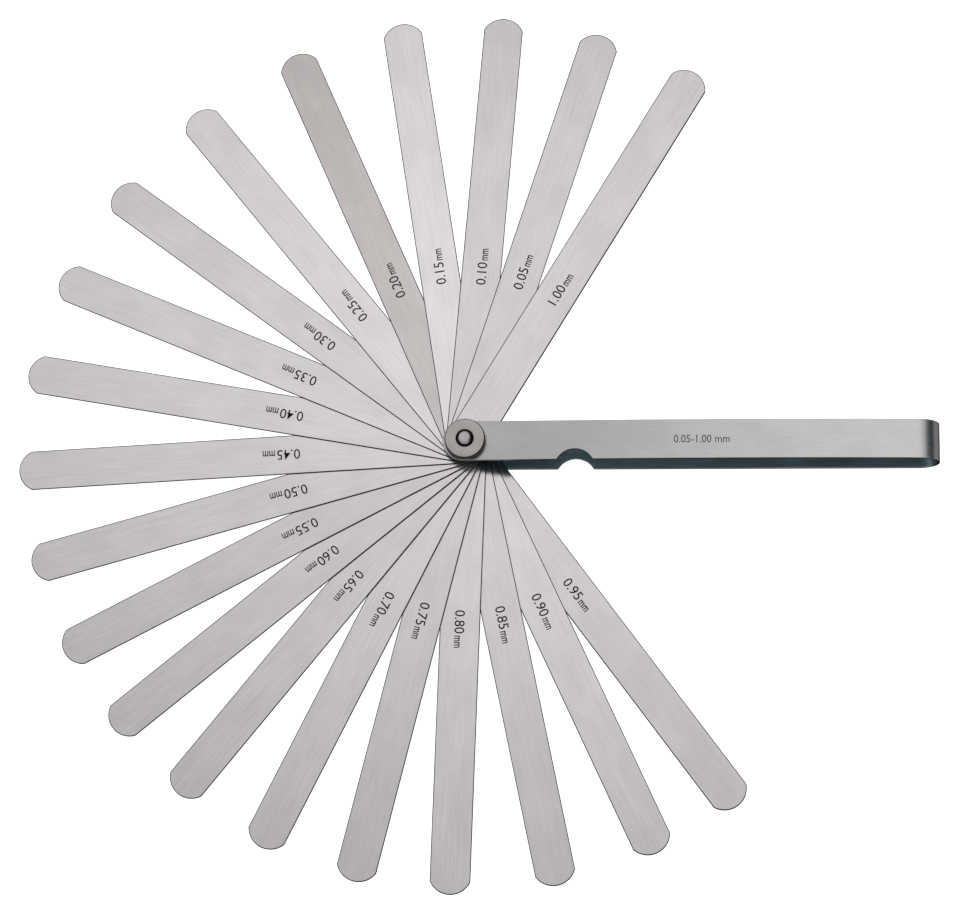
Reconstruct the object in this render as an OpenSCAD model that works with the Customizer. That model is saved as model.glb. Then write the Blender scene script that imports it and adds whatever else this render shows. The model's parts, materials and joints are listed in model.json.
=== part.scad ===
// Feeler gauge: twenty steel leaves fanned out on one pivot, in a case folded from one strip.
// Sizes are in millimetres. The origin is on the pivot's axis at the underside of the case.
// +X runs along the case to its bend, and +Z is up, towards the lock nut.

/* [Leaves] */
// Length of a leaf from its butt to its tip
leaf_length = 150; // [100:1:200]
// Width of a leaf
leaf_width = 12.7; // [11:0.1:13.8]
// Radius of a leaf's tip, over half the width so that the tip keeps two corners
tip_radius = 7; // [7:0.1:12]
// Thickness of the thinnest leaf, and the step from one leaf to the next
thickness_step = 0.05; // [0.03:0.01:0.06]
// Air left between one leaf and the next
leaf_gap = 0.02; // [0.01:0.01:0.06]

/* [Case] */
// Thickness of the strip that the case is folded from
strip_thickness = 1.2; // [1:0.1:1.5]
// How far the top plate bows up midway between the pivot and the bend
plate_bow = 1.2; // [0:0.1:2]
// How much further apart the plates are at the bend than at the pivot
bend_spread = 0.68; // [0:0.02:1]
// How far the leaf tips reach past the start of the bend
tip_overrun = 0.35; // [0:0.05:0.4]
// How far the centre of the rounded end lies behind the pivot
end_setback = 0.9; // [0:0.05:1.2]
// Distance from the pivot to the thumb notch
notch_x = 34.8; // [28:0.1:60]
// Depth of the thumb notch in each plate's front edge
notch_depth = 3.4; // [2:0.1:3.5]
// Radius of the thumb notch
notch_radius = 6.5; // [6:0.1:9]
// Radius of the rounded corners where the notch meets the edge
notch_fillet = 0.5; // [0.2:0.1:3]

/* [Pivot stud] */
// Diameter of the smooth shank that the leaves turn on
shank_d = 5; // [4.6:0.1:5.6]
// Outer diameter of the thread for the lock nut
thread_d = 4; // [3:0.1:4.4]
// Diameter of the flush head under the bottom plate
head_d = 8; // [7:0.1:10]
// Height of the flush head
head_height = 0.6; // [0.4:0.1:0.8]
// How far the stud stands out above the lock nut
stud_stand_out = 1.5; // [0.5:0.1:4]
// Radial clearance of everything that turns on the stud
running_clearance = 0.05; // [0.02:0.01:0.1]

/* [Washer and lock nut] */
// Outer diameter of the flat washer
washer_d = 12.2; // [10:0.1:16]
// Thickness of the flat washer
washer_thickness = 0.4; // [0.3:0.1:1]
// Outer diameter of the lock nut over its knurl
nut_d = 13; // [10:0.1:16]
// Height of the lock nut
nut_height = 2.8; // [2:0.1:6]
// Number of teeth in the straight knurl
knurl_teeth = 54; // [30:1:72]
// Depth of the knurl
knurl_depth = 0.3; // [0.1:0.05:0.4]
// Chamfer at both rims of the lock nut
nut_chamfer = 0.4; // [0.2:0.05:0.8]
// Diameter of the countersink at the top of the lock nut
countersink_d = 5.8; // [5:0.1:8]

/* [Hidden] */
$fn = 96;
over = 1;             // how far a cutting shape runs past the material it cuts
stud_chamfer = 0.4;
shank_short = 0.24;   // the shank stops this far below the top plate's face, so the nut can clamp
bow_steps = 24;

steel = [0.80, 0.78, 0.79];
nickel = [0.67, 0.66, 0.66];
nut_steel = [0.55, 0.53, 0.52];

// Leaves in their order from the top of the stack, each as a multiple of thickness_step.
stack = [20, 1, 2, 3, 4, 5, 6, 7, 8, 9, 10, 11, 12, 13, 14, 15, 16, 17, 18, 19];
// The angle that each leaf of the stack is turned out to, anticlockwise from the case.
fan = [
    59.4, 72.6, 85.6, 99.2, 113.8, 129, 143.5, 157.2, 170.3, 183.4,
    195.9, 208, 219.7, 231.5, 244, 256.4, 268.5, 282, 295, 306.7
];

function thickness(place) = stack[place] * thickness_step;
function stack_height(place) = place < 0 ? 0 : stack_height(place - 1) + thickness(place) + leaf_gap;
function two_digits(n) = str(n < 10 ? "0" : "", n);
function leaf_name(place) =
    let (hundredths = round(100 * thickness(place)))
    str("leaf_", floor(hundredths / 100), "_", two_digits(hundredths % 100));

last_place = len(stack) - 1;
half_width = leaf_width / 2;
tip_reach = leaf_length - half_width;
tip_centre = tip_reach - tip_radius;

plate_underside = strip_thickness + stack_height(last_place) + leaf_gap;
plate_top = plate_underside + strip_thickness;
bend_radius = (plate_top + bend_spread) / 2;
bend_x = tip_reach - tip_overrun;
end_x = -end_setback - half_width;
bow_start = head_d + 2;   // the top plate is flat from its end to here

shank_r = shank_d / 2;
thread_r = thread_d / 2;
nut_r = nut_d / 2;
nut_z = plate_top + washer_thickness;
nut_top = nut_z + nut_height;
stud_top = nut_top + stud_stand_out;

// Height of the top plate's upper face at a distance from the pivot.
function plate_face(x) =
    let (along = max(0, x - bow_start) / (bend_x - bow_start))
    plate_top + bend_spread * along + 4 * plate_bow * along * (1 - along);

module case() {
    color(nickel) difference() {
        union() {
            translate([end_x, -half_width, 0]) cube([bend_x - end_x, leaf_width, strip_thickness]);
            bend();
            top_plate();
        }
        rounded_end_cut();
        through_cut() notch_outline();
        translate([0, 0, -over]) cylinder(r = shank_r, h = strip_thickness + 2 * over);
        translate([0, 0, -over]) cylinder(d = head_d, h = head_height + over);
        translate([0, 0, plate_underside - over])
            cylinder(r = shank_r + running_clearance, h = strip_thickness + 2 * over);
    }
}

module bend() {
    translate([bend_x, 0, bend_radius]) rotate([90, 0, 0]) rotate([0, 0, -90])
        rotate_extrude(angle = 180)
            translate([bend_radius - strip_thickness, -half_width]) square([strip_thickness, leaf_width]);
}

module top_plate() {
    stations = concat([end_x], [for (i = [0 : bow_steps]) bow_start + (bend_x - bow_start) * i / bow_steps]);
    upper = [for (x = stations) [x, plate_face(x)]];
    lower = [for (i = [len(stations) - 1 : -1 : 0]) upper[i] - [0, strip_thickness]];
    rotate([90, 0, 0]) linear_extrude(leaf_width, center = true) polygon(concat(upper, lower));
}

// Cuts a plan outline right through both plates.
module through_cut() {
    translate([0, 0, -over]) linear_extrude(2 * bend_radius + plate_bow + 2 * over) children();
}

module rounded_end_cut() {
    through_cut() difference() {
        translate([end_x - over, -half_width - over]) square([half_width + over, leaf_width + 2 * over]);
        translate([-end_setback, 0]) circle(r = half_width);
    }
}

// A round bite in the front edge, with its two corners rounded off.
module notch_outline() {
    centre_y = notch_depth - half_width - notch_radius;
    fillet_y = notch_fillet - half_width;
    reach = notch_radius + notch_fillet;
    fillet_x = sqrt(pow(reach, 2) - pow(fillet_y - centre_y, 2));
    touch_y = centre_y + (fillet_y - centre_y) * notch_radius / reach;
    translate([notch_x, centre_y]) circle(r = notch_radius);
    difference() {
        translate([notch_x - fillet_x, -half_width - over]) square([2 * fillet_x, touch_y + half_width + over]);
        for (side = [-1, 1]) translate([notch_x + side * fillet_x, fillet_y]) circle(r = notch_fillet);
    }
}

module pivot_stud() {
    color(nut_steel) {
        cylinder(d = head_d, h = head_height);
        cylinder(r = shank_r, h = plate_top - shank_short);
        cylinder(r = thread_r, h = stud_top - stud_chamfer);
        translate([0, 0, stud_top - stud_chamfer])
            cylinder(r1 = thread_r, r2 = thread_r - stud_chamfer, h = stud_chamfer);
    }
}

module washer() {
    color(nickel) translate([0, 0, plate_top]) difference() {
        cylinder(d = washer_d, h = washer_thickness);
        translate([0, 0, -over]) cylinder(r = thread_r + running_clearance, h = washer_thickness + 2 * over);
    }
}

module lock_nut() {
    bore_r = thread_r + running_clearance;
    sink = countersink_d / 2 - bore_r;
    color(nut_steel) translate([0, 0, nut_z]) difference() {
        intersection() {
            linear_extrude(nut_height) knurl_outline();
            chamfered_disc(nut_r, nut_height, nut_chamfer);
        }
        translate([0, 0, -over]) cylinder(r = bore_r, h = nut_height + 2 * over);
        translate([0, 0, nut_height - sink])
            cylinder(r1 = bore_r, r2 = bore_r + sink + over, h = sink + over);
    }
}

module knurl_outline() {
    half_tooth = 180 / knurl_teeth;
    polygon([
        for (i = [0 : 2 * knurl_teeth - 1])
            let (r = nut_r - (i % 2) * knurl_depth)
            r * [cos(i * half_tooth), sin(i * half_tooth)]
    ]);
}

// A disc whose chamfers start at radius r, with a wall wide of it so that only the chamfers cut the teeth.
module chamfered_disc(r, height, chamfer) {
    wide = chamfer / 2;
    rotate_extrude() polygon([
        [0, 0], [r - chamfer, 0], [r + wide, chamfer + wide],
        [r + wide, height - chamfer - wide], [r - chamfer, height], [0, height]
    ]);
}

module leaf(place) {
    color(steel) rotate([0, 0, fan[place]])
        translate([0, 0, plate_underside - stack_height(place)])
            linear_extrude(thickness(place)) leaf_outline();
}

module leaf_outline() {
    difference() {
        union() {
            circle(r = half_width);
            translate([0, -half_width]) square([tip_centre, leaf_width]);
            intersection() {
                translate([tip_centre, 0]) circle(r = tip_radius);
                translate([tip_centre, -half_width]) square([tip_radius, leaf_width]);
            }
        }
        circle(r = shank_r + running_clearance);
    }
}

case();
pivot_stud();
washer();
lock_nut();
for (place = [0 : last_place])
    leaf(place);
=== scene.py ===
"""Looks for the feeler gauge: leaves and their marks, case, stud, washer and nut. Metres, +Z up."""
import json
import math

import bmesh
import bpy
from mathutils import Euler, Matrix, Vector
from mathutils.bvhtree import BVHTree


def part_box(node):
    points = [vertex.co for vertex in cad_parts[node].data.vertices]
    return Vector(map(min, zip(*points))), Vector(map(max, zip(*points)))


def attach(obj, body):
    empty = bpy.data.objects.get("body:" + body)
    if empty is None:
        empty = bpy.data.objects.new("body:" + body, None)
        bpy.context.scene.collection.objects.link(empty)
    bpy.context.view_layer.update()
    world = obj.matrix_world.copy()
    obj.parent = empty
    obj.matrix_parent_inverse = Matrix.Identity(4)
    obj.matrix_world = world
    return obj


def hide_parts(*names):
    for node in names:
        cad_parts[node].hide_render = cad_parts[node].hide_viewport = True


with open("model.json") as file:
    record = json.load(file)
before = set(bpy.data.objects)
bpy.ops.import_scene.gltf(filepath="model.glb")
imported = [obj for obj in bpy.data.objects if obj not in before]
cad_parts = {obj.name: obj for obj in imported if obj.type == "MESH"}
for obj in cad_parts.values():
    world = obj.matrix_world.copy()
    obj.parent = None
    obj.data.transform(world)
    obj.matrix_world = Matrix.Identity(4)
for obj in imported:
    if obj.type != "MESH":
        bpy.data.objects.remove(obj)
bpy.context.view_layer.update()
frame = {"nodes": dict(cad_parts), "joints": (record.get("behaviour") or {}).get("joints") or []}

MM = 0.001
TURN = 2 * math.pi

# Leaves
TIP_RADIUS = 7.0 * MM
EDGE_ROUND = 0.12 * MM        # rounding of a thick leaf's edges
EDGE_SHARE = 0.45             # a thin leaf's rounding is this share of its thickness
EDGE_STEPS = 3
RIM = 0.26 * MM               # width of the near-black border painted on a leaf's faces as edge shade
ARC_STEPS = 40
HOLE_RADIUS = 2.55 * MM
LEAF_TONE = 214
# Each leaf's listed tone offset, partly painted light: the top-left leaves are lighter where light falls
# brighter, and leaf_0_20 darker as a painted reflection.
LEAF_TONE_AND_PAINTED_LIGHT = {
    "leaf_1_00": -3, "leaf_0_05": -5, "leaf_0_10": -6, "leaf_0_15": 11, "leaf_0_20": -16, "leaf_0_25": 9,
    "leaf_0_40": 3, "leaf_0_55": -5, "leaf_0_60": -5, "leaf_0_80": 5, "leaf_0_90": 7}

# Marks
FONT_CAP_SHARE = 0.73         # a digit's height over the font's size
DIGIT_HEIGHT = 3.3 * MM
UNIT_HEIGHT = 2.75 * MM
UNIT_NARROWING = 0.72
UNIT_GAP = 0.7 * MM
MARK_START = 53.0 * MM
MARK_WANDER = 0.45 * MM
MARK_THICKNESS = 0.008 * MM
RANGE_HEIGHT = 2.6 * MM
RANGE_CENTRE_X = 75 * MM

# Case, washer, nut and stud
STRIP_THICKNESS = 1.2 * MM
CASE_ROUND = 0.14 * MM
NUT_TEETH = 54
TOOTH_STEPS = 6
KNURL_DEPTH = 0.3 * MM
NUT_CHAMFER = 0.4 * MM
NUT_ROUND = 0.08 * MM
SINK_RADIUS = 2.9 * MM
BORE_RADIUS = 2.05 * MM
THREAD_PITCH = 0.7 * MM
THREAD_DEPTH = 0.34 * MM
THREAD_RINGS = 8              # rings of points for each turn of the thread
THREAD_RADIUS = 2.0 * MM
STUD_CHAMFER = 0.4 * MM
SHANK_RADIUS = 2.5 * MM
SHANK_SHORT = 0.24 * MM       # the shank stops this far below the top plate's face
HEAD_HEIGHT = 0.6 * MM
HEAD_SEAM = 0.05 * MM         # the fine ring between the stud's head and the case
STUD_STEPS = 64

# Light and camera
PANEL_SIZE = (1.7, 1.0)
PANEL_PLACE = (0.057, 0.338, 1.0)
PANEL_WATTS = 3.95
PANEL_RIM = 0.34              # brightness at the panel's rim, as a share of the middle's
FLAG_TOWARDS = (0.97, 0.1, 0)
FLAG_FADE = (0.6, 0.74)       # where the flag starts and is full, as a dot product with FLAG_TOWARDS
FLOOR_DROP = 0.05 * MM
CAMERA_LENS = 144.3
CAMERA_PLACE = (0.0784, -0.3094, 1.1936)
CAMERA_TURN, CAMERA_TILT, CAMERA_LEAN = -0.240, 14.450, 3.518   # degrees


# ---------------------------------------------------------------- materials

def linear(*srgb):
    """sRGB values from 0 to 255 as a linear colour."""
    return tuple((c / 255 / 12.92) if c < 10.3 else ((c / 255 + 0.055) / 1.055) ** 2.4 for c in srgb) + (1.0,)


class Nodes:
    """A new material's node tree, with short calls for the nodes that the materials here share."""

    def __init__(self, name):
        self.material = bpy.data.materials.new(name)
        self.material.use_nodes = True
        self.tree = self.material.node_tree
        self.shader = self.tree.nodes["Principled BSDF"]

    def put(self, source, socket):
        if isinstance(source, bpy.types.NodeSocket):
            self.tree.links.new(source, socket)
        else:
            socket.default_value = source

    def node(self, kind, **settings):
        node = self.tree.nodes.new(kind)
        for key, value in settings.items():
            setattr(node, key, value)
        return node

    def object_coords(self, shift=(0, 0, 0), scale=(1, 1, 1)):
        coords = self.node("ShaderNodeTexCoord")
        mapping = self.node("ShaderNodeMapping")
        self.put(coords.outputs["Object"], mapping.inputs["Vector"])
        mapping.inputs["Location"].default_value = shift
        mapping.inputs["Scale"].default_value = scale
        return mapping.outputs[0]

    def noise(self, vector, scale, detail=3.0, roughness=0.6):
        node = self.node("ShaderNodeTexNoise")
        self.put(vector, node.inputs["Vector"])
        node.inputs["Scale"].default_value = scale
        node.inputs["Detail"].default_value = detail
        node.inputs["Roughness"].default_value = roughness
        return node.outputs["Fac"]

    def spread(self, value, from_low, from_high, low, high):
        node = self.node("ShaderNodeMapRange", interpolation_type="SMOOTHSTEP")
        self.put(value, node.inputs["Value"])
        limits = {"From Min": from_low, "From Max": from_high, "To Min": low, "To Max": high}
        for key, number in limits.items():
            node.inputs[key].default_value = number
        return node.outputs[0]

    def math(self, operation, a, b=0.0):
        node = self.node("ShaderNodeMath", operation=operation)
        self.put(a, node.inputs[0])
        self.put(b, node.inputs[1])
        return node.outputs[0]

    def product(self, *factors):
        result = factors[0]
        for factor in factors[1:]:
            result = self.math("MULTIPLY", result, factor)
        return result

    def scaled(self, colour, factor):
        node = self.node("ShaderNodeVectorMath", operation="SCALE")
        self.put(colour[:3], node.inputs[0])
        self.put(factor, node.inputs["Scale"])
        return node.outputs[0]

    def bump(self, height, strength, distance):
        node = self.node("ShaderNodeBump")
        self.put(height, node.inputs["Height"])
        node.inputs["Strength"].default_value = strength
        node.inputs["Distance"].default_value = distance
        self.put(node.outputs[0], self.shader.inputs["Normal"])


def brushed_steel(name, colour, seed, roughness=0.17, streaks=0.07, patches=0.03, painted_light_fade=None):
    """Satin steel with fine lines along X and faint cloudy patches.

    The last argument, if given, paints light along X: (x0, x1, level at x0, level at x1)."""
    n = Nodes(name)
    n.shader.inputs["Metallic"].default_value = 1.0
    shift = (seed * 0.37, seed * 0.11, seed * 0.05)
    fine = n.noise(n.object_coords(shift, (90, 6000, 6000)), 1.0, 5.0, 0.7)
    broad = n.noise(n.object_coords(shift, (50, 1300, 1300)), 1.0, 3.0, 0.6)
    cloud = n.noise(n.object_coords(shift, (1, 1.6, 1)), 70.0, 4.0, 0.55)
    level = n.product(
        n.spread(broad, 0.3, 0.7, 1 - streaks / 2, 1 + streaks / 2),
        n.spread(fine, 0.3, 0.7, 1 - streaks, 1 + streaks),
        n.spread(cloud, 0.35, 0.65, 1 - patches, 1 + patches))
    # Painted light: the colour grows lighter or darker along X.
    if painted_light_fade:
        axes = n.node("ShaderNodeSeparateXYZ")
        n.put(n.object_coords(), axes.inputs[0])
        level = n.product(level, n.spread(axes.outputs["X"], *painted_light_fade))
    n.put(n.scaled(colour, level), n.shader.inputs["Base Color"])
    n.put(n.spread(broad, 0.3, 0.7, roughness - 0.03, roughness + 0.03), n.shader.inputs["Roughness"])
    n.bump(fine, 0.12, 0.00001)
    return n.material


def turned_steel(name, colour, seed, roughness=0.3):
    """Steel faced on a lathe: fine rings round the axis, with a faint warm stain."""
    n = Nodes(name)
    n.shader.inputs["Metallic"].default_value = 1.0
    axes = n.node("ShaderNodeSeparateXYZ")
    n.put(n.object_coords(), axes.inputs[0])
    radius = n.math("SQRT", n.math("ADD", n.math("POWER", axes.outputs["X"], 2.0),
                                   n.math("POWER", axes.outputs["Y"], 2.0)))
    along = n.node("ShaderNodeCombineXYZ")
    n.put(radius, along.inputs["X"])
    along.inputs["Y"].default_value = seed
    rings = n.noise(along.outputs[0], 5200.0, 4.0, 0.7)
    broad_rings = n.noise(along.outputs[0], 1100.0, 1.0)
    stain = n.noise(n.object_coords((seed, 0, 0)), 260.0)
    level = n.product(n.spread(rings, 0.3, 0.7, 0.93, 1.07), n.spread(broad_rings, 0.3, 0.7, 0.95, 1.05),
                      n.spread(stain, 0.35, 0.65, 0.94, 1.04))
    n.put(n.scaled(colour, level), n.shader.inputs["Base Color"])
    n.put(n.spread(rings, 0.3, 0.7, roughness - 0.05, roughness + 0.06), n.shader.inputs["Roughness"])
    n.bump(rings, 0.2, 0.00001)
    return n.material


def dark_steel(name, colour, roughness=0.42):
    """Near-black steel for painted shade on the leaves' edges and on the nut's knurl and hollow, with a fine
    grain darker where its bump dips.
    """
    n = Nodes(name)
    n.shader.inputs["Metallic"].default_value = 1.0
    grain = n.noise(n.object_coords(scale=(1, 1, 3)), 2600.0, 4.0, 0.7)
    n.put(n.scaled(colour, n.spread(grain, 0.3, 0.7, 0.7, 1.35)), n.shader.inputs["Base Color"])
    n.put(n.spread(grain, 0.3, 0.7, roughness - 0.08, roughness + 0.08), n.shader.inputs["Roughness"])
    n.bump(grain, 0.25, 0.00001)
    return n.material


def ink(name, dark, light):
    """Etched black, a little uneven."""
    n = Nodes(name)
    specks = n.noise(n.object_coords(), 2500.0)
    mix = n.node("ShaderNodeMix", data_type="RGBA")
    n.put(n.spread(specks, 0.35, 0.7, 0.0, 1.0), mix.inputs["Factor"])
    mix.inputs["A"].default_value = dark
    mix.inputs["B"].default_value = light
    n.put(mix.outputs["Result"], n.shader.inputs["Base Color"])
    n.put(n.spread(specks, 0.3, 0.7, 0.5, 0.7), n.shader.inputs["Roughness"])
    n.shader.inputs["Specular IOR Level"].default_value = 0.2
    return n.material


# Painted shade: the border and the walls of each leaf's edge are the leaf's steel, painted near-black.
EDGE_SHADE_BORDER = dark_steel("painted_edge_shade_border", linear(24, 26, 29))
EDGE_SHADE_WALL = dark_steel("painted_edge_shade_wall", linear(40, 42, 45), 0.3)
# Painted shade: the nut's knurl, countersink and bore are its own steel, painted dark.
KNURL_AND_HOLLOW_SHADE = dark_steel("knurl_and_hollow_painted_shade", linear(66, 68, 71), 0.34)
INK = ink("mark_ink", linear(14, 12, 13), linear(44, 40, 42))
ETCH = ink("range_etch", linear(78, 74, 73), linear(120, 114, 112))


# ---------------------------------------------------------------- mesh helpers

def arc(start, end, steps=ARC_STEPS):
    return [start + (end - start) * i / steps for i in range(steps + 1)]


def add_object(name, mesh, materials, body, node=None):
    """Links a piece made of mesh, parents it to the body it rides on, and hides the CAD node it stands in
    for.
    """
    piece = bpy.data.objects.new(name, mesh)
    bpy.context.scene.collection.objects.link(piece)
    for material in materials:
        mesh.materials.append(material)
    if node:
        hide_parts(node)
    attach(piece, body)
    return piece


def to_mesh(bm, name, sharp_degrees=None):
    """The finished mesh, smooth but for edges over the given angle."""
    bm.normal_update()
    if sharp_degrees:
        for edge in bm.edges:
            edge.smooth = edge.calc_face_angle(0) < math.radians(sharp_degrees)
    mesh = bpy.data.meshes.new(name)
    bm.to_mesh(mesh)
    bm.free()
    mesh.shade_smooth()
    return mesh


def flatten(piece):
    """Keeps flat faces flat in the shading, right up to their rounded edges."""
    weighted = piece.modifiers.new("weighted", "WEIGHTED_NORMAL")
    weighted.keep_sharp = True


def add_walls(bm, loops, outward=True, material=0):
    """Quads between consecutive loops of vertices, each loop closed on itself."""
    for low, high in zip(loops, loops[1:]):
        for i in range(len(low)):
            j = (i + 1) % len(low)
            quad = (low[i], low[j], high[j], high[i])
            bm.faces.new(quad if outward else quad[::-1]).material_index = material


# ---------------------------------------------------------------- leaves

def leaf_loop(reach, half_width, inset):
    """A leaf's outline, moved in by inset: the tip's arc and the butt's half circle, from the tip."""
    r = half_width - inset
    tip_r = TIP_RADIUS - inset
    tip_x = reach - TIP_RADIUS
    spread = math.asin(r / tip_r)
    points = [(tip_x + tip_r * math.cos(a), tip_r * math.sin(a)) for a in arc(0, spread)]
    points += [(r * math.cos(a), r * math.sin(a)) for a in arc(TURN / 4, 3 * TURN / 4)]
    points += [(tip_x + tip_r * math.cos(a), tip_r * math.sin(a)) for a in arc(-spread, 0)][:-1]
    return points


def hole_loop(radius):
    return [(radius * math.cos(a), radius * math.sin(a)) for a in arc(0, TURN, 2 * ARC_STEPS)][:-1]


def edge_profile(thickness, z):
    """(inset, height) from one face's border round the rounded edge to the other's."""
    r = min(EDGE_ROUND, EDGE_SHARE * thickness)
    turns = arc(0, TURN / 4, EDGE_STEPS)
    low = [(r * (1 - math.sin(a)), z + r * (1 - math.cos(a))) for a in turns]
    high = [(r * (1 - math.cos(a)), z + thickness - r * (1 - math.sin(a))) for a in turns]
    return [(RIM, z)] + low + high + [(RIM, z + thickness)]


def add_caps(bm, outer, hole, upward):
    """The flat face between the outline and the hole, as two halves."""
    n, m = len(outer), len(hole)
    butt = n // 2
    upper = outer[:butt + 1] + [hole[i] for i in range(m // 2, -1, -1)]
    lower = outer[butt:] + [outer[0]] + [hole[i % m] for i in range(m, m // 2 - 1, -1)]
    for half in (upper, lower):
        bm.faces.new(half if upward else half[::-1])


def leaf_mesh(name, reach, half_width, z, thickness):
    bm = bmesh.new()
    outer, hole = [], []
    for inset, height in edge_profile(thickness, z):
        outer.append([bm.verts.new((x, y, height)) for x, y in leaf_loop(reach, half_width, inset)])
        hole.append([bm.verts.new((x, y, height)) for x, y in hole_loop(HOLE_RADIUS + inset)])
    for loops, outward in ((outer, True), (hole, False)):
        # Materials 1 and 2 paint the border and the rounded edge near-black as edge shade.
        add_walls(bm, loops[:2], outward, 1)
        add_walls(bm, loops[1:-1], outward, 2)
        add_walls(bm, loops[-2:], outward, 1)
    add_caps(bm, outer[-1], hole[-1], True)
    add_caps(bm, outer[0], hole[0], False)
    return to_mesh(bm, name)


def leaf_colour(node, place):
    """Steel with a faint lilac cast, a little different from leaf to leaf; leaf_0_20 is darker and browner as
    a painted reflection of its tilt.
    """
    tone = LEAF_TONE + ((place * 7) % 5 - 2) + LEAF_TONE_AND_PAINTED_LIGHT.get(node, 0)
    return linear(tone, tone - 7, tone - 7) if node == "leaf_0_20" else linear(tone, tone - 4, tone - 1)


def make_leaf(joint, place):
    """One leaf and its mark, at the angle that the leaf's joint gives."""
    node = joint["child"]
    angle = -math.radians(joint["range_deg"][0])
    low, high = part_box(node)
    cos, sin = math.cos(angle), math.sin(angle)
    corners = [v.co for v in frame["nodes"][node].data.vertices]
    flat = [(co.x * cos + co.y * sin, co.y * cos - co.x * sin) for co in corners]
    reach = max(x for x, _ in flat)
    half_width = max(y for _, y in flat)
    mesh = leaf_mesh(node + "_blade", reach, half_width, low.z, high.z - low.z)
    steel = brushed_steel(node + "_steel", leaf_colour(node, place), place)
    blade = add_object(node + "_blade", mesh, [steel, EDGE_SHADE_BORDER, EDGE_SHADE_WALL], node, node)
    blade.rotation_euler.z = angle
    mark = add_object(node + "_mark", mark_mesh(node, place, high.z), [INK], node)
    mark.rotation_euler.z = angle


# ---------------------------------------------------------------- marks

def text_bmesh(text, height, narrowing=1.0, bold=0.015 * MM):
    """Closed thin letters, from x 0 to the right, standing on y 0, with their backs at z 0."""
    curve = bpy.data.curves.new("lettering", "FONT")
    curve.body = text
    curve.size = height / FONT_CAP_SHARE
    curve.extrude = MARK_THICKNESS / 2
    curve.offset = bold
    curve.resolution_u = 4
    holder = bpy.data.objects.new("lettering", curve)
    bpy.context.scene.collection.objects.link(holder)
    mesh = bpy.data.meshes.new_from_object(holder.evaluated_get(bpy.context.evaluated_depsgraph_get()))
    bpy.data.objects.remove(holder)
    bpy.data.curves.remove(curve)
    bm = bmesh.new()
    bm.from_mesh(mesh)
    bpy.data.meshes.remove(mesh)
    bmesh.ops.remove_doubles(bm, verts=bm.verts, dist=0.0005 * MM)
    left = min(v.co.x for v in bm.verts)
    for v in bm.verts:
        v.co = ((v.co.x - left) * narrowing, v.co.y, v.co.z + MARK_THICKNESS / 2)
        for face in v.link_faces:
            face.material_index = 0
    return bm


def merge(bm, other, shift):
    """Adds the other bmesh's faces to bm, moved along X."""
    twins = {v: bm.verts.new(v.co + Vector((shift, 0, 0))) for v in other.verts}
    for face in other.faces:
        bm.faces.new([twins[v] for v in face.verts])
    other.free()


def mark_mesh(node, place, z):
    """A leaf's thickness and its unit, in black on the leaf's face."""
    digits = node.split("_", 1)[1].replace("_", ".")
    bm = text_bmesh(digits, DIGIT_HEIGHT)
    unit_x = max(v.co.x for v in bm.verts) + UNIT_GAP
    merge(bm, text_bmesh("mm", UNIT_HEIGHT, UNIT_NARROWING, 0.05 * MM), unit_x)
    start = MARK_START + MARK_WANDER * math.sin(place * 2.4)
    bmesh.ops.translate(bm, verts=bm.verts, vec=(start, -DIGIT_HEIGHT / 2, z))
    return to_mesh(bm, node + "_mark", 30)


def make_range_mark():
    """The gauge's range, etched on the bowed top plate."""
    case = frame["nodes"]["case"]
    bm = bmesh.new()
    bm.from_mesh(case.data)
    plate = BVHTree.FromBMesh(bm)
    bm.free()
    sky = Vector((0, 0, 2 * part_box("case")[1].z))
    down = Vector((0, 0, -1))
    text = text_bmesh("0.05-1.00 mm", RANGE_HEIGHT, 0.9, 0.01 * MM)
    middle = max(v.co.x for v in text.verts) / 2
    for v in text.verts:
        v.co += Vector((RANGE_CENTRE_X - middle, -RANGE_HEIGHT / 2, 0))
        hit = plate.ray_cast(Vector((v.co.x, v.co.y, sky.z)), down)[0]
        v.co.z += hit.z - MARK_THICKNESS / 2
    add_object("range_mark", to_mesh(text, "range_mark", 30), [ETCH], "case")


# ---------------------------------------------------------------- case and washer

def rounded_copy(node, radius):
    """The CAD node's mesh, joined up, with its sharp edges rounded."""
    bm = bmesh.new()
    bm.from_mesh(frame["nodes"][node].data)
    bmesh.ops.remove_doubles(bm, verts=bm.verts, dist=0.001 * MM)
    bmesh.ops.dissolve_limit(bm, angle_limit=math.radians(0.05), verts=bm.verts, edges=bm.edges)
    sharp = [e for e in bm.edges if e.calc_face_angle(0) > math.radians(40)]
    bmesh.ops.bevel(bm, geom=sharp, offset=radius, offset_type="OFFSET", segments=3, profile=0.5,
                    affect="EDGES", clamp_overlap=True)
    return bm


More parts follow.
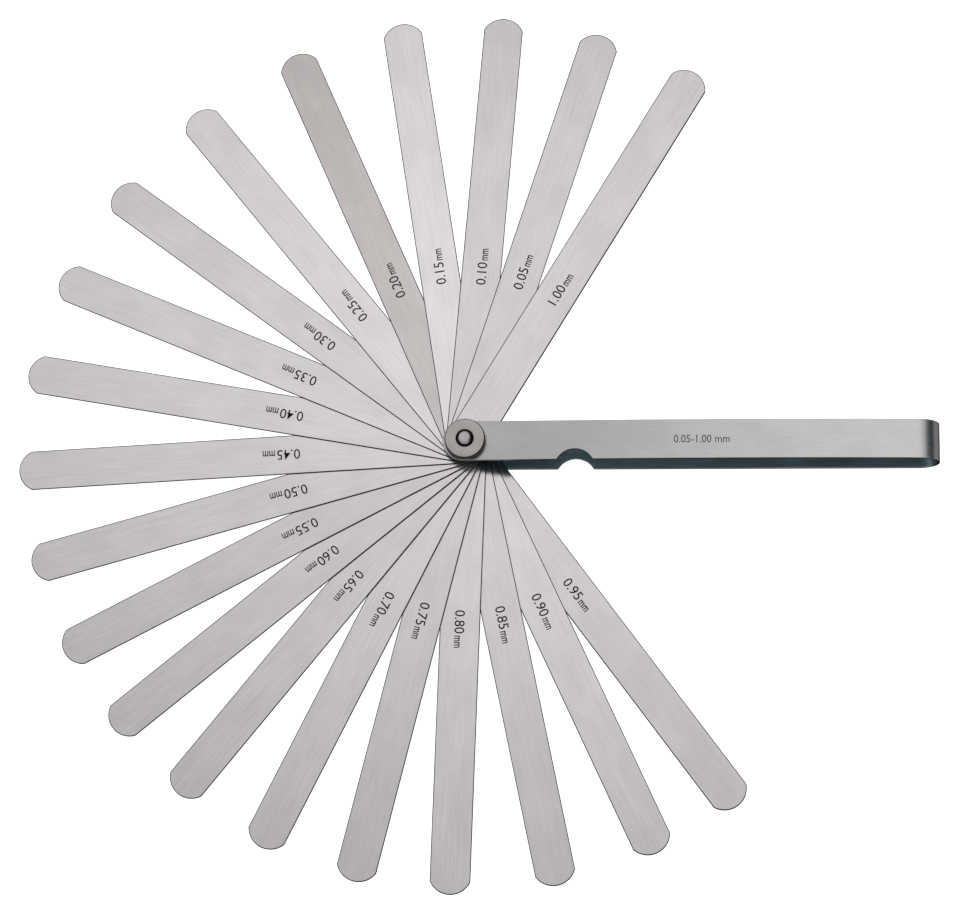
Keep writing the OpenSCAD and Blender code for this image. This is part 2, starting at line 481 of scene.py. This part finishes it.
def make_case():
    """The folded strip: outside, its colour grows lighter towards the bend as painted light; between the
    plates, a duller teal-tinted copy of its steel as painted shade.
    """
    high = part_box("case")[1]
    inside_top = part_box("washer")[0].z - STRIP_THICKNESS
    bm = rounded_copy("case", CASE_ROUND)
    bm.normal_update()
    # Faces that look into the gap between the plates get material 1, the painted shade.
    for face in bm.faces:
        probe = face.calc_center_median() + face.normal * MM
        between = STRIP_THICKNESS < probe.z < inside_top + 2 * MM and probe.x < high.x - STRIP_THICKNESS
        clear = probe.z < inside_top or face.normal.z < 0
        face.material_index = 1 if between and clear and abs(probe.y) < high.y else 0
    mesh = to_mesh(bm, "case_strip", 40)
    # The outside's colour grows lighter towards the bend: painted light.
    outside = brushed_steel("case_nickel", linear(188, 186, 187), 31, 0.27, 0.06, 0.03,
                            painted_light_fade=(0.02, 0.15, 0.92, 1.3))
    # Painted shade: the faces between the plates get a teal-tinted copy of the steel.
    inside = brushed_steel("case_inside_painted_shade", linear(146, 171, 177), 37, 0.4, 0.2, 0.1)
    flatten(add_object("case_strip", mesh, [outside, inside], "case", "case"))
    make_range_mark()


def make_washer():
    mesh = to_mesh(rounded_copy("washer", 0.05 * MM), "flat_washer", 40)
    steel = turned_steel("washer_steel", linear(190, 187, 185), 3)
    flatten(add_object("flat_washer", mesh, [steel], "washer", "washer"))


# ---------------------------------------------------------------- nut and stud

def lathe(bm, rings, steps, radius_at):
    """Loops of vertices, one for each (z, radius) ring; radius_at shapes a ring round the axis."""
    loops = []
    for z, radius in rings:
        loops.append([])
        for i in range(steps):
            a = TURN * i / steps
            r = radius_at(z, radius, a)
            loops[-1].append(bm.verts.new((r * math.cos(a), r * math.sin(a), z)))
    return loops


def rounded_corner(before, corner, after, radius, steps=3):
    """Points that round a profile's corner off."""
    start = Vector(corner) + (Vector(before) - Vector(corner)).normalized() * radius
    end = Vector(corner) + (Vector(after) - Vector(corner)).normalized() * radius
    middle = Vector(corner)
    points = []
    for i in range(steps + 1):
        t = i / steps
        points.append(tuple(start * (1 - t) ** 2 + middle * 2 * t * (1 - t) + end * t ** 2))
    return points


def smooth_profile(points, radius):
    """A closed (z, radius) profile with every corner rounded."""
    nexts = points[1:] + points[:1]
    return [p for i, point in enumerate(points)
            for p in rounded_corner(points[i - 1], point, nexts[i], radius)]


def make_nut():
    """The knurled lock nut: a faced top, with its knurl, countersink and bore painted dark as shade."""
    low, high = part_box("lock_nut")
    outer = high.x
    sink = SINK_RADIUS - BORE_RADIUS
    face = outer - NUT_CHAMFER
    profile = [
        (low.z, BORE_RADIUS), (low.z, face), (low.z + NUT_CHAMFER, outer), (high.z - NUT_CHAMFER, outer),
        (high.z, face), (high.z, SINK_RADIUS), (high.z - sink, BORE_RADIUS)]

    def knurl(z, radius, angle):
        groove = KNURL_DEPTH * abs(math.sin(NUT_TEETH * angle / 2)) ** 0.8
        return min(radius, outer - KNURL_DEPTH + groove)

    bm = bmesh.new()
    rings = smooth_profile(profile, NUT_ROUND)
    loops = lathe(bm, rings, NUT_TEETH * TOOTH_STEPS, knurl)
    add_walls(bm, loops + [loops[0]])
    bm.normal_update()
    # Material 1 paints the knurl, the countersink and the bore near-black as shade.
    for f in bm.faces:
        centre = f.calc_center_median()
        across = math.hypot(centre.x, centre.y)
        on_rim = across > face + NUT_ROUND and centre.z < high.z - NUT_ROUND / 2
        f.material_index = 1 if on_rim or across < SINK_RADIUS - NUT_ROUND else 0
    mesh = to_mesh(bm, "knurled_nut", 32)
    steel = turned_steel("nut_steel", linear(179, 173, 170), 7)
    flatten(add_object("knurled_nut", mesh, [steel, KNURL_AND_HOLLOW_SHADE], "lock_nut", "lock_nut"))


def make_stud():
    """The pivot stud: flush head, smooth shank, and a real thread for the lock nut."""
    low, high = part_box("pivot_stud")
    thread_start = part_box("washer")[0].z - SHANK_SHORT
    head_radius = high.x - HEAD_SEAM
    round_off = 0.1 * MM
    chamfer_z = high.z - STUD_CHAMFER
    rings = [(low.z, head_radius - round_off), (low.z + round_off, head_radius),
             (low.z + HEAD_HEIGHT, head_radius), (low.z + HEAD_HEIGHT, SHANK_RADIUS),
             (thread_start, SHANK_RADIUS)]
    turns = (high.z - thread_start) / THREAD_PITCH
    count = int(turns * THREAD_RINGS)
    rings += [(thread_start + (high.z - thread_start) * i / count, THREAD_RADIUS) for i in range(count + 1)]

    def thread(z, radius, angle):
        if radius != THREAD_RADIUS:
            return radius
        phase = (z / THREAD_PITCH - angle / TURN) % 1
        groove = THREAD_DEPTH * max(0.0, 1 - abs(phase - 0.5) / 0.44)
        return min(radius - groove, THREAD_RADIUS - max(0.0, z - chamfer_z))

    bm = bmesh.new()
    loops = lathe(bm, rings, STUD_STEPS, thread)
    add_walls(bm, loops)
    bm.faces.new(loops[0][::-1])
    bm.faces.new(loops[-1])
    mesh = to_mesh(bm, "threaded_stud", 35)
    steel = turned_steel("stud_steel", linear(184, 180, 179), 11)
    add_object("threaded_stud", mesh, [steel], "case", "pivot_stud")


# ---------------------------------------------------------------- the object

for place, joint in enumerate(j for j in frame["joints"] if j["name"].endswith("_swing")):
    make_leaf(joint, place)
make_case()
make_washer()
make_nut()
make_stud()


# ---------------------------------------------------------------- light, floor, camera

def overhead_panel():
    """A wide soft panel over the back of the object, brightest in its middle."""
    data = bpy.data.lights.new("overhead_panel", "AREA")
    data.shape = "RECTANGLE"
    data.size, data.size_y = PANEL_SIZE
    data.energy = PANEL_WATTS
    data.use_nodes = True
    nodes, links = data.node_tree.nodes, data.node_tree.links
    place = nodes.new("ShaderNodeNewGeometry")
    offset = nodes.new("ShaderNodeVectorMath")
    offset.operation = "DISTANCE"
    offset.inputs[1].default_value = (0.5, 0.5, 0)
    links.new(place.outputs["Parametric"], offset.inputs[0])
    fall = nodes.new("ShaderNodeMapRange")
    fall.interpolation_type = "SMOOTHSTEP"
    fall.inputs["From Min"].default_value = 0.0
    fall.inputs["From Max"].default_value = 0.5
    fall.inputs["To Min"].default_value = 1.0
    fall.inputs["To Max"].default_value = PANEL_RIM
    links.new(offset.outputs["Value"], fall.inputs["Value"])
    links.new(fall.outputs[0], nodes["Emission"].inputs["Strength"])
    lamp = bpy.data.objects.new("overhead_panel", data)
    lamp.location = PANEL_PLACE
    bpy.context.scene.collection.objects.link(lamp)


def make_world():
    """Black underfoot, pale walls, and a dark flag with a wall below it on the right; white to the camera."""
    world = bpy.data.worlds.new("studio")
    bpy.context.scene.world = world
    world.use_nodes = True
    nodes, links = world.node_tree.nodes, world.node_tree.links
    coords = nodes.new("ShaderNodeTexCoord")
    axes = nodes.new("ShaderNodeSeparateXYZ")
    links.new(coords.outputs["Generated"], axes.inputs[0])
    height = nodes.new("ShaderNodeMapRange")
    height.inputs["From Min"].default_value = -1.0
    height.inputs["From Max"].default_value = 1.0
    links.new(axes.outputs["Z"], height.inputs["Value"])

    def by_height(stops):
        ramp = nodes.new("ShaderNodeValToRGB")
        while len(ramp.color_ramp.elements) < len(stops):
            ramp.color_ramp.elements.new(0.5)
        for element, (position, colour) in zip(ramp.color_ramp.elements, stops):
            element.position = position
            element.color = colour + (1,)
        links.new(height.outputs[0], ramp.inputs["Fac"])
        return ramp.outputs[0]

    black, teal, slate = (0.003, 0.008, 0.01), (0.014, 0.034, 0.04), (0.03, 0.052, 0.057)
    dusk, grey, wall = (0.1, 0.1, 0.1), (0.3, 0.3, 0.3), (0.27, 0.25, 0.255)
    dim, pale = (0.2, 0.21, 0.215), (0.6, 0.61, 0.62)
    around = by_height([
        (0.0, black), (0.05, black), (0.13, teal), (0.25, dim), (0.52, pale), (0.8, pale), (0.9, grey)])
    flag = by_height([(0.0, wall), (0.46, wall), (0.53, slate), (0.7, slate), (0.78, dusk), (0.92, grey)])
    towards_flag = nodes.new("ShaderNodeVectorMath")
    towards_flag.operation = "DOT_PRODUCT"
    towards_flag.inputs[1].default_value = FLAG_TOWARDS
    links.new(coords.outputs["Generated"], towards_flag.inputs[0])
    side = nodes.new("ShaderNodeMapRange")
    side.inputs["From Min"].default_value, side.inputs["From Max"].default_value = FLAG_FADE
    links.new(towards_flag.outputs["Value"], side.inputs["Value"])
    mix = nodes.new("ShaderNodeMix")
    mix.data_type = "RGBA"
    links.new(side.outputs[0], mix.inputs["Factor"])
    links.new(around, mix.inputs["A"])
    links.new(flag, mix.inputs["B"])
    path = nodes.new("ShaderNodeLightPath")
    seen = nodes.new("ShaderNodeMix")
    seen.data_type = "RGBA"
    links.new(path.outputs["Is Camera Ray"], seen.inputs["Factor"])
    links.new(mix.outputs["Result"], seen.inputs["A"])
    seen.inputs["B"].default_value = (1, 1, 1, 1)
    links.new(seen.outputs["Result"], nodes["Background"].inputs["Color"])


def make_floor():
    """A white floor that shows no shadow, just under the case."""
    mesh = bpy.data.meshes.new("floor")
    mesh.from_pydata([(-4, -4, 0), (4, -4, 0), (4, 4, 0), (-4, 4, 0)], [], [(0, 1, 2, 3)])
    n = Nodes("floor_white")
    n.shader.inputs["Base Color"].default_value = (0.9, 0.9, 0.9, 1)
    n.shader.inputs["Roughness"].default_value = 0.9
    n.shader.inputs["Emission Color"].default_value = (1, 1, 1, 1)
    n.shader.inputs["Emission Strength"].default_value = 1.0
    mesh.materials.append(n.material)
    floor = bpy.data.objects.new("floor", mesh)
    floor.location.z = -FLOOR_DROP
    floor.visible_glossy = False
    bpy.context.scene.collection.objects.link(floor)


def make_camera():
    """A long lens, high in front of the gauge and a little to its right."""
    data = bpy.data.cameras.new("camera")
    data.lens = CAMERA_LENS
    data.sensor_width = 36.0
    data.clip_end = 20.0
    camera = bpy.data.objects.new("camera", data)
    camera.location = CAMERA_PLACE
    turn = Euler((0, 0, math.radians(CAMERA_TURN))).to_matrix()
    tilt = Euler((math.radians(CAMERA_TILT), 0, 0)).to_matrix()
    lean = Euler((0, math.radians(CAMERA_LEAN), 0)).to_matrix()
    camera.rotation_euler = (turn @ tilt @ lean).to_euler()
    bpy.context.scene.collection.objects.link(camera)
    bpy.context.scene.camera = camera
    bpy.context.scene.view_settings.view_transform = "Standard"


overhead_panel()
make_world()
make_floor()
make_camera()
